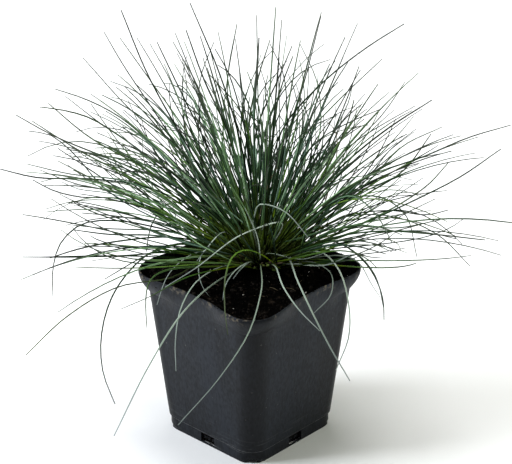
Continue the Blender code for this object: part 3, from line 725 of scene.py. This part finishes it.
def leaf_mesh(name, leaves, rng):
    """Closed rolled leaves in one mesh: a groove along the upper side, and a fine tip."""
    routes = np.array([leaf.route for leaf in leaves])
    count, rings, _ = routes.shape
    tangents = unit(np.gradient(routes, axis=1))
    outward = routes[:, -1] - routes[:, 0]
    outward[:, 2] = 0.0
    normals = transported(tangents, -unit(outward) + UP * FIRST_LIFT)
    sides = np.cross(tangents, normals)
    share = np.linspace(0.0, 1.0, rings)
    radius = np.array([leaf.radius for leaf in leaves])[:, None] * (1.0 + (TIP_SHARE - 1.0) * share ** TAPER)
    turn = (rng.normal(0.0, TURN_SPREAD, (count, 1))
            + rng.normal(0.0, TWIST_SPREAD, (count, 1)) * share)
    profile = np.array(PROFILE)
    across = (np.cos(turn)[..., None] * profile[:, 0] - np.sin(turn)[..., None] * profile[:, 1])
    above = (np.sin(turn)[..., None] * profile[:, 0] + np.cos(turn)[..., None] * profile[:, 1])
    points = (routes[:, :, None, :]
              + radius[..., None, None] * (across[..., None] * sides[:, :, None, :]
                                           + above[..., None] * normals[:, :, None, :]))
    around = len(PROFILE)
    each = rings * around
    start = np.arange(count)[:, None, None] * each + np.arange(rings - 1)[None, :, None] * around
    corner = np.arange(around)[None, None, :]
    following = (corner + 1) % around
    quads = np.stack([start + corner, start + around + corner, start + around + following,
                      start + following], axis=-1)
    faces = quads.reshape(-1, 4).tolist()
    for low in range(0, count * each, each):
        high = low + each - around
        faces.append(list(range(low, low + around)))
        faces.append(list(range(high + around - 1, high - 1, -1)))
    mesh = bpy.data.meshes.new(name)
    mesh.from_pydata(points.reshape(-1, 3).tolist(), [], faces)
    lengths = np.linalg.norm(np.diff(routes, axis=1), axis=2).sum(axis=1)
    angle = np.linspace(0.0, 2.0 * math.pi, around, endpoint=False)
    grain = np.zeros((count, rings, around, 3))
    grain[..., 0] = np.cos(angle) + rng.uniform(0.0, GRAIN_RANGE, (count, 1, 1))
    grain[..., 1] = np.sin(angle) + rng.uniform(0.0, GRAIN_RANGE, (count, 1, 1))
    grain[..., 2] = (share[None, :] * lengths[:, None] / GRAIN_LENGTH)[..., None]
    carry(mesh, "along", np.tile(np.repeat(share, around), count))
    carry(mesh, "painted_light", np.tile(PAINTED_LIGHT, count * rings))
    for value in ("tone", "cool", "dry"):
        carry(mesh, value, np.repeat([getattr(leaf, value) for leaf in leaves], each))
    carry(mesh, "grain", grain.reshape(-1, 3))
    return mesh


def random_tone(rng):
    """Most leaves are deep green, and some are bright."""
    return float(rng.beta(*DEEP_TONES) if rng.random() < DEEP_SHARE else rng.beta(*BRIGHT_TONES))


# Leaves

def traced_route(points):
    """A leaf that is traced with its depths, from the crown to its tip."""
    traced = [seen(*point) for point in points]
    return smooth([crown_point(traced[0] - CROWN), *traced])


def make_single_leaves(materials, rng):
    """The leaves that have solids of their own."""
    for name, points in SINGLE_LEAVES.items():
        pale = name.startswith(PALE_LEAVES)
        # Front-lit leaves get the paler silver-green and a high tone, as painted light
        kind = "silver" if pale else "yellow" if name.startswith(YELLOW_LEAVES) else "blue"
        tone = rng.uniform(*FRONT_LIT_PALE_TONES) if pale else min(random_tone(rng), SINGLE_TONE_MOST)
        radius = LEAF_RADIUS * (PALE_SHARE if pale else 1.0)
        mesh = leaf_mesh(name, [Leaf(traced_route(points), radius, tone)], rng)
        new_piece(name + "_blade", mesh, materials[kind], LEAF_SLOTS[kind], name)


def in_box(route):
    """Whether a leaf stays in the solids' box, or near it."""
    low, high = (np.array(corner) for corner in CAD_BOX)
    return bool(np.all((route > low - BOX_MARGIN) & (route < high + BOX_MARGIN)))


def leaning_route(points, length, side):
    """A leaf of a known length under its pixels: it leans away from the viewer, or towards them."""
    plane = []
    for column, row in points:
        sight = unit(seen(column, row, 0.0) - EYE)
        plane.append(EYE + sight * ((CROWN - EYE) @ -BACK) / (sight @ -BACK))
    plane = np.array(plane)
    reach = np.linalg.norm(plane[-1] - CROWN)
    lean = side * math.sqrt(max(length ** 2 - reach ** 2, 0.0))
    steps = np.linalg.norm(np.diff(np.vstack([CROWN, plane]), axis=0), axis=1)
    share = np.cumsum(steps) / steps.sum()
    placed = plane + unit(plane - EYE) * lean * share[:, None]
    return smooth([crown_point(placed[0] - CROWN), *placed])


def make_clump_leaves(materials, rng):
    """The leaves that stand out around the clump and over the near rim, in one mesh for each side."""
    for name, tracings in CLUMP_LEAVES.items():
        leaves = []
        for number, points in enumerate(tracings):
            side = 1.0 if number % 2 else -1.0
            length = rng.uniform(*CLUMP_LENGTHS) * MM
            for lean in LEANS:
                route = leaning_route(points, length, lean * side)
                if clear_of_pot(route) and in_box(route):
                    break
            radius = LEAF_RADIUS * rng.uniform(*CLUMP_SHARE)
            leaves.append(Leaf(route, radius, min(random_tone(rng), CLUMP_TONE_MOST), rng.random()))
        mesh = leaf_mesh(name, leaves, rng)
        new_piece(name, mesh, materials["blue"], LEAF_SLOTS["blue"])
    # The leaves over the near rim get the paler silver-green and a high tone, as painted light
    leaves = [Leaf(traced_route(points), LEAF_RADIUS * rng.uniform(*FRONT_SHARE), rng.uniform(*FRONT_LIT_TONES))
              for points in FRONT_LEAVES]
    mesh = leaf_mesh("leaves_front", leaves, rng)
    new_piece("leaves_front", mesh, materials["silver"], LEAF_SLOTS["silver"])


def shoot_ends(node):
    """A shoot's foot and its leaves' tips, read from its solid."""
    points = np.array([vert.co[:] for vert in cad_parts[node].data.vertices])
    foot = points[np.argmin(np.linalg.norm(points - CROWN, axis=1))]
    order = np.argsort(-np.linalg.norm(points - foot, axis=1))
    tips = []
    for index in order:
        if all(np.linalg.norm(points[index] - tip) > TIPS_APART for tip in tips):
            tips.append(points[index])
        if len(tips) == SHOOT_TIPS:
            break
    return foot, tips


def arched(start, reach, droop, rings, bend=None):
    """A leaf that sags under its own weight, and that a bend turns aside, most of all at its tip."""
    share = np.linspace(0.0, 1.0, rings)[:, None]
    sag = droop * math.hypot(reach[0], reach[1])
    route = start + reach * share + UP * sag * (share - share ** 2)
    if bend is not None:
        route = route + bend * (share - share ** 3)
    return route


def crowding(direction):
    """How many leaves the photograph shows in a direction, from 0 to 1."""
    across = float(direction @ RIGHT)
    slope = math.degrees(math.atan2(float(direction @ UPWARD), abs(across)))
    left, right = (float(np.interp(slope, SLOPES, shares)) for shares in (CROWDED_LEFT, CROWDED_RIGHT))
    near = float(ease((direction @ BACK - NEAR_FROM) / NEAR_RANGE))
    return (left + (right - left) * float(ease(0.5 + SIDE_BLEND * across))) * (1.0 - NEAR_LOSS * near)


def fine_leaf(middle, rng):
    """A fine leaf of a shoot, or None where few grow or where it would be too low or leave the box."""
    direction = unit(unit(middle) + rng.normal(0.0, SHOOT_SPREAD, 3))
    if rng.random() > crowding(direction):
        return None
    left = float(unit(middle) @ -RIGHT)
    low, high = (share + more * left for share, more in (SHORTEST, LONGEST))
    length = np.linalg.norm(middle) * rng.uniform(low, high)
    start = crown_point(unit(direction + rng.normal(0.0, START_SPREAD, 3)))
    aside = RIGHT * BASE_SPREAD * (direction @ RIGHT * rng.random() + rng.normal(0.0, ASIDE_SPREAD))
    start = start + aside
    start[2] = max(start[2] - ASIDE_DROP * np.linalg.norm(aside), CROWN[2] + BASE_LIFT)
    bend = np.clip(rng.normal(0.0, BEND_SPREAD, 3), -BEND_MOST, BEND_MOST) * length
    route = arched(start, direction * length - aside, rng.uniform(*FINE_DROOP), SHOOT_RINGS, bend)
    if route[:, 2].min() <= POT_HEIGHT + POT_CLEARANCE or not in_box(route):
        return None
    cool = rng.uniform(*(COOL_LOW if direction[2] < STEEP else COOL_STEEP))
    dry = 1.0 if rng.random() < DRY_SHARE else 0.0
    return Leaf(route, LEAF_RADIUS * rng.uniform(*FINE_SHARE), random_tone(rng), cool, dry)


def make_shoots(materials, rng):
    """Each shoot as a tuft of fine leaves, with those of its solid among them."""
    for number in range(SHOOTS):
        node = f"shoot_{number + 1:02d}"
        foot, tips = shoot_ends(node)
        leaves = [Leaf(arched(foot, tip - foot, SHOOT_DROOP, SHOOT_RINGS), LEAF_RADIUS * OWN_SHARE,
                       random_tone(rng)) for tip in tips]
        middle = np.mean(tips, axis=0) - foot
        drawn = [fine_leaf(middle, rng) for _ in range(SHOOT_LEAVES)]
        leaves += [leaf for leaf in drawn if leaf]
        mesh = leaf_mesh(node, leaves, rng)
        new_piece(node + "_leaves", mesh, materials["blue"], LEAF_SLOTS["blue"], node)


def make_crown(materials, rng):
    """The packed, straw-coloured bases of the leaves, over a dark core."""
    bm = bmesh.new()
    bmesh.ops.create_uvsphere(bm, u_segments=CORE_SEGMENTS, v_segments=CORE_SEGMENTS // 2, radius=1.0)
    half = CROWN_RADIUS - CORE_DEPTH
    high = CROWN_RISE - CORE_DEPTH
    for vert in bm.verts:
        place = Vector((vert.co.x * half, vert.co.y * half, max(vert.co.z, CORE_FLOOR) * high))
        vert.co = place + Vector(CROWN) + vert.co * noise.noise(place * CORE_KNOB_SCALE) * CORE_KNOBS
    core = mesh_of(bm, "crown_core")
    carry(core, "tone", np.full(len(core.vertices), CORE_TONE))
    new_piece("crown_core", core, materials["crumb"], "crown_straw")
    leaves = []
    for _ in range(STUBS):
        rise = math.asin(rng.uniform(STUB_LOWEST, 1.0))
        azimuth = rng.uniform(0.0, 2.0 * math.pi)
        direction = np.array((math.cos(rise) * math.cos(azimuth), math.cos(rise) * math.sin(azimuth),
                              math.sin(rise)))
        aim = unit(direction + UP * STUB_LIFT + rng.normal(0.0, STUB_SPREAD, 3))
        start = crown_point(direction) - direction * STUB_DEPTH
        start[2] = max(start[2], CROWN[2] + STUB_BASE)
        length = rng.uniform(*STUB_LENGTHS) * MM
        route = arched(start, aim * length, STUB_DROOP, STUB_RINGS)
        dry = 1.0 if rise < OUTER_RISE and rng.random() < OUTER_DRY else 0.0
        leaves.append(Leaf(route, rng.uniform(*STUB_RADII) * MM, rng.random() ** 2, dry=dry))
    mesh = leaf_mesh("crown_bases", leaves, rng)
    new_piece("crown_bases", mesh, materials["base"], "crown_straw", "crown")


# Pot

def turned(degrees):
    """A turn about the upright axis."""
    return Matrix.Rotation(math.radians(degrees), 3, "Z")


def square_ring(half, radius, height, bow=0.0, lip=0.0, inset=0.0):
    """A square with round corners, whose walls bow out and whose corners stand out by a lip."""
    straight = half - radius
    reach = radius + lip - inset
    ring = []
    for quarter in range(4):
        turn = turned(90.0 * quarter)
        for step in range(SIDE_STEPS):
            along = 2.0 * step / SIDE_STEPS - 1.0
            cornered = ease((abs(along) - LIP_LEVEL) / (1.0 - LIP_LEVEL))
            lip_share = LIP_AT_MIDDLE + (1.0 - LIP_AT_MIDDLE) * cornered
            out = half + bow * (1.0 - along * along) + lip * lip_share - inset
            ring.append(turn @ Vector((out, along * straight, height)))
        for step in range(ARC_STEPS):
            angle = math.radians(90.0 * step / ARC_STEPS)
            ring.append(turn @ Vector((straight + reach * math.cos(angle),
                                       straight + reach * math.sin(angle), height)))
    return ring


def lip_at(height):
    """The curled lip's reach at a corner."""
    fall = (POT_HEIGHT - height) / LIP_DROP
    if fall >= 1.0:
        return 0.0
    below = 1.0 - LIP_CREST
    if fall < LIP_CREST:
        return LIP_REACH * (below + fall)
    return LIP_REACH * math.cos(math.pi / 2.0 * (fall - LIP_CREST) / below) ** LIP_FULLNESS


def wall_ring(height, inset=0.0):
    """The pot's wall at a height, or its inside where an inset is given."""
    share = (height - SKIRT_HEIGHT) / (POT_HEIGHT - SKIRT_HEIGHT)
    half = FOOT_HALF + (RIM_HALF - FOOT_HALF) * share
    return square_ring(half, CORNER_RADIUS, height, WALL_BOW * share, lip_at(height), inset)


def skirt_ring(height, inset):
    """The low skirt under the foot line, at a height."""
    return square_ring(FOOT_HALF - SKIRT_INSET, CORNER_RADIUS, height, inset=inset)


def pot_rings():
    """The pot's section, from the middle of its underside, over the rim, to the middle of its floor."""
    lip_low = POT_HEIGHT - LIP_DROP
    round_low = POT_HEIGHT - WALL / 2.0
    heights = list(np.linspace(WALL_FOOT, lip_low, WALL_STEPS, endpoint=False))
    heights += list(np.linspace(lip_low, round_low, LIP_STEPS))
    edge = []
    for step in range(1, RIM_STEPS):
        angle = math.pi * step / RIM_STEPS
        edge.append(wall_ring(round_low + WALL / 2.0 * math.sin(angle),
                              WALL / 2.0 * (1.0 - math.cos(angle))))
    pad = [square_ring(PAD_HALF, PAD_HALF / 2.0, height) for height in (0.0, FLOOR_UNDERSIDE)]
    skirt = ((FLOOR_UNDERSIDE, WALL), (0.0, WALL), (0.0, SKIRT_EDGE), (SKIRT_EDGE, 0.0),
             (SKIRT_HEIGHT - SKIRT_SHOULDER, 0.0), (SKIRT_HEIGHT, -SKIRT_LEDGE))
    return [
        *pad,
        *(skirt_ring(height, inset) for height, inset in skirt),
        *(wall_ring(height) for height in heights),
        *edge,
        *(wall_ring(height, WALL) for height in reversed(heights)),
        skirt_ring(FLOOR_TOP, WALL),
    ]


def loft(name, rings):
    """A closed skin through rings of equal count, with a flat face on the first and the last."""
    bm = bmesh.new()
    rows = [[bm.verts.new(point) for point in ring] for ring in rings]
    for row, above in zip(rows, rows[1:]):
        for index in range(len(row)):
            following = (index + 1) % len(row)
            bm.faces.new((row[index], row[following], above[following], above[index]))
    bm.faces.new(rows[0])
    bm.faces.new(rows[-1])
    bmesh.ops.recalc_face_normals(bm, faces=bm.faces)
    if bm.calc_volume(signed=True) < 0.0:
        bmesh.ops.reverse_faces(bm, faces=bm.faces)
    return mesh_of(bm, name)


def drainage_cutters():
    """One mesh of the boxes that cut the drainage holes and notches."""
    bm = bmesh.new()
    diagonal = (FOOT_HALF - CORNER_RADIUS) * math.sqrt(2.0) + CORNER_RADIUS
    length = CUT_DEPTH + CUT_PAST
    for quarter in range(4):
        for (width, bottom, top), out, degrees in ((SIDE_HOLE, FOOT_HALF, 90.0 * quarter),
                                                   (CORNER_NOTCH, diagonal, 90.0 * quarter + 45.0)):
            middle = Vector((out + CUT_PAST - length / 2.0, 0.0, (bottom + top) / 2.0))
            box = Matrix.Translation(middle) @ Matrix.Diagonal((length, width, top - bottom, 1.0))
            bmesh.ops.create_cube(bm, size=1.0, matrix=turned(degrees).to_4x4() @ box)
    return mesh_of(bm, "drainage_cutters")


def make_pot(materials):
    """The moulded pot, finer than its solid, with its drainage holes and notches cut."""
    body = add_object("pot_body", loft("pot_body", pot_rings()))
    cutter = add_object("drainage_cutters", drainage_cutters())
    cut = body.modifiers.new("drainage", "BOOLEAN")
    cut.operation = "DIFFERENCE"
    cut.solver = "EXACT"
    cut.object = cutter
    evaluated = body.evaluated_get(bpy.context.evaluated_depsgraph_get())
    mesh = bpy.data.meshes.new_from_object(evaluated)
    for item in (body, cutter):
        bpy.data.objects.remove(item, do_unlink=True)
    mesh.materials.clear()
    mesh.name = "moulded_pot"
    new_piece("moulded_pot", mesh, materials["plastic"], "black_plastic", "pot")
    mesh.set_sharp_from_angle(angle=SHARP_ANGLE)


# Potting mix

def soil_ring(share, edge):
    """A ring of the mix's surface, at a share of the way in from the wall to the crown's seat."""
    ring = []
    for point in edge:
        outward = unit(np.array((point.x - CROWN[0], point.y - CROWN[1], 0.0)))
        seat = np.array((CROWN[0], CROWN[1], 0.0)) + outward * (CROWN_RADIUS - CROWN_SEAT)
        place = np.array(point) * (1.0 - share) + seat * share
        place[2] = SOIL_EDGE + (SOIL_SEAT - SOIL_EDGE) * ease(share)
        lump = noise.fractal(Vector(place) * LUMP_SCALE, *LUMP_FRACTAL)
        place[2] += SOIL_LUMPS * lump * min(share * LUMPS_RISE + LUMPS_AT_WALL, 1.0)
        ring.append(Vector(place))
    return ring


def make_soil(materials):
    """The filled mix with a lumpy surface. It gives back the surface's points."""
    heights = [WALL_FOOT, *np.linspace(POT_HEIGHT - LIP_DROP, SOIL_EDGE, SOIL_WALL_STEPS, endpoint=False)]
    lower = [skirt_ring(FLOOR_TOP + SOIL_FLOOR_GAP, SOIL_INSET)]
    lower += [wall_ring(height, SOIL_INSET) for height in heights]
    edge = wall_ring(SOIL_EDGE, SOIL_INSET)
    rings = [soil_ring(step / SOIL_RINGS, edge) for step in range(SOIL_RINGS + 1)]
    new_piece("potting_mix", loft("potting_mix", lower + rings), materials["soil"], "potting_mix", "soil")
    return np.array([[point[:] for point in ring] for ring in rings])


def soil_spot(surface, rng):
    """A random place on the mix."""
    ring = rng.random() ** SPOT_POWER * SPOT_REACH * SOIL_RINGS
    place = surface[int(ring), rng.integers(surface.shape[1])]
    return place + rng.normal(0.0, SPOT_BLUR, 3) * MM * LEVEL


def make_crumbs(materials, surface, rng):
    """Crumbs, grit and bark on the mix."""
    count, thickness, sizes, tones = CRUMBS
    bits = [(soil_spot(surface, rng), rng.gamma(*sizes) * MM + CRUMB_LEAST, rng.beta(*tones))
            for _ in range(count)]
    scatter("soil_crumbs", bits, thickness, materials["crumb"], rng)
    for name, kind, settings in (("soil_grit", "grit", GRIT), ("soil_bark", "crumb", BARK)):
        count, thickness, sizes, tones = settings
        bits = [(soil_spot(surface, rng), rng.uniform(*sizes) * MM, rng.uniform(*tones))
                for _ in range(count)]
        scatter(name, bits, thickness, materials[kind], rng)


def make_rim_dirt(materials, rng):
    """Specks of mix on the rim."""
    count, thickness, sizes, tones = RIM_DIRT
    rim = wall_ring(POT_HEIGHT, RIM_INSET)
    bits = []
    for _ in range(count):
        place = np.array(rim[rng.integers(len(rim))]) + rng.normal(0.0, RIM_BLUR, 3) * MM * LEVEL
        bits.append((place - UP * RIM_DEPTH, rng.uniform(*sizes) * MM, rng.uniform(*tones)))
    scatter("rim_crumbs", bits, thickness, materials["crumb"], rng)


def make_drain_dirt(materials, rng):
    """Mix that shows behind the drainage holes."""
    count, thickness, sizes, tones = DRAIN_DIRT
    width, _, top = SIDE_HOLE
    face = FOOT_HALF - SKIRT_INSET - SOIL_INSET
    bits = []
    for quarter in range(4):
        turn = np.array(turned(90.0 * quarter))
        for _ in range(count):
            place = np.array((face - rng.uniform(0.0, DRAIN_DEPTH) * MM,
                              rng.uniform(-0.5, 0.5) * (width + DRAIN_MARGIN),
                              rng.uniform(DRAIN_BOTTOM, top)))
            bits.append((turn @ place, rng.uniform(*sizes) * MM, rng.beta(*tones)))
    scatter("drain_crumbs", bits, thickness, materials["crumb"], rng)


def make_fibres(materials, surface, rng):
    """Pale fibres on the mix."""
    fibres = []
    for _ in range(FIBRES):
        start = soil_spot(surface, rng) + UP * FIBRE_LIFT
        azimuth = rng.uniform(0.0, 2.0 * math.pi)
        reach = np.array((math.cos(azimuth), math.sin(azimuth), rng.uniform(*FIBRE_SLOPES)))
        reach = reach * rng.uniform(*FIBRE_LENGTHS) * MM
        route = arched(start, reach, rng.uniform(*FIBRE_DROOP), FIBRE_RINGS)
        if np.abs(route[:, :2]).max() < RIM_HALF - FIBRE_MARGIN:
            fibres.append(Leaf(route, rng.uniform(*FIBRE_RADII) * MM, 0.0, dry=1.0))
    mesh = leaf_mesh("soil_fibres", fibres, rng)
    new_piece("soil_fibres", mesh, materials["base"], "potting_mix")


def scatter(name, bits, thickness, material, rng):
    """Small irregular bits in one mesh: each has a place, a size and a tone."""
    bm = bmesh.new()
    bmesh.ops.create_icosphere(bm, subdivisions=1, radius=1.0)
    ball = np.array([vert.co[:] for vert in bm.verts])
    faces = np.array([[vert.index for vert in face.verts] for face in bm.faces])
    bm.free()
    points = []
    for place, size, _ in bits:
        knobs = rng.uniform(*BIT_KNOBS, (len(ball), 1))
        shape = ball * knobs * (1.0, rng.uniform(*BIT_WIDTHS), thickness)
        turn = Matrix.Rotation(rng.uniform(0.0, SPIN), 3, Vector(rng.normal(0.0, 1.0, 3)))
        if thickness < LYING_FLAT:
            turn = Matrix.Rotation(rng.uniform(0.0, SPIN), 3, "Z")
        points.append(place + size * shape @ np.array(turn))
    every = [faces + len(ball) * index for index in range(len(bits))]
    mesh = bpy.data.meshes.new(name)
    mesh.from_pydata(np.concatenate(points).tolist(), [], np.concatenate(every).tolist())
    carry(mesh, "tone", np.repeat([tone for _, _, tone in bits], len(ball)))
    new_piece(name, mesh, material, "potting_mix")


# Studio

def add_light(name, place, size, power, colour):
    """A square soft light on the clump."""
    light = bpy.data.lights.new(name, "AREA")
    light.color = colour
    light.shape = "SQUARE"
    light.size = size
    light.energy = power
    holder = add_object(name, light)
    holder.location = Vector(place)
    holder.rotation_euler = (Vector(LIGHT_AIM) - Vector(place)).to_track_quat("-Z", "Y").to_euler()


def make_studio():
    """Camera, floor, world and lights."""
    scene = bpy.context.scene
    scene.view_settings.view_transform = "Standard"
    camera = bpy.data.cameras.new("camera")
    camera.sensor_fit = "HORIZONTAL"
    camera.sensor_width = SENSOR_WIDTH
    camera.lens = FOCAL_PIXELS / PHOTO_SIZE[0] * SENSOR_WIDTH
    camera.clip_start = 0.05
    camera.clip_end = 100.0
    holder = add_object("camera", camera)
    axes = Matrix((RIGHT, UPWARD, BACK)).transposed().to_4x4()
    holder.matrix_world = Matrix.Translation(Vector(EYE)) @ axes
    scene.camera = holder

    bpy.ops.mesh.primitive_plane_add(size=FLOOR_SIZE, location=(0.0, 0.0, -FLOOR_DROP))
    floor = bpy.context.object
    floor.name = "floor"
    floor.data.materials.append(floor_material())

    world = bpy.data.worlds.new("studio")
    world.use_nodes = True
    background = world.node_tree.nodes["Background"]
    background.inputs["Color"].default_value = (1.0, 1.0, 1.0, 1.0)
    background.inputs["Strength"].default_value = WORLD_STRENGTH
    scene.world = world
    for name, settings in LIGHTS.items():
        add_light(name, *settings)


def main():
    """Build every piece and the studio."""
    rng = np.random.default_rng(SEED)
    materials = {kind: leaf_material(LEAF_SLOTS[kind], *colours) for kind, colours in LEAF_COLOURS.items()}
    materials["plastic"] = plastic_material()
    materials["soil"] = soil_material()
    materials["crumb"] = crumb_material("mix_crumbs", *CRUMB_COLOURS)
    materials["grit"] = crumb_material("mix_grit", *GRIT_COLOURS)
    make_studio()
    make_pot(materials)
    surface = make_soil(materials)
    make_crumbs(materials, surface, rng)
    make_rim_dirt(materials, rng)
    make_drain_dirt(materials, rng)
    make_fibres(materials, surface, rng)
    make_crown(materials, rng)
    make_single_leaves(materials, rng)
    make_clump_leaves(materials, rng)
    make_shoots(materials, rng)


main()
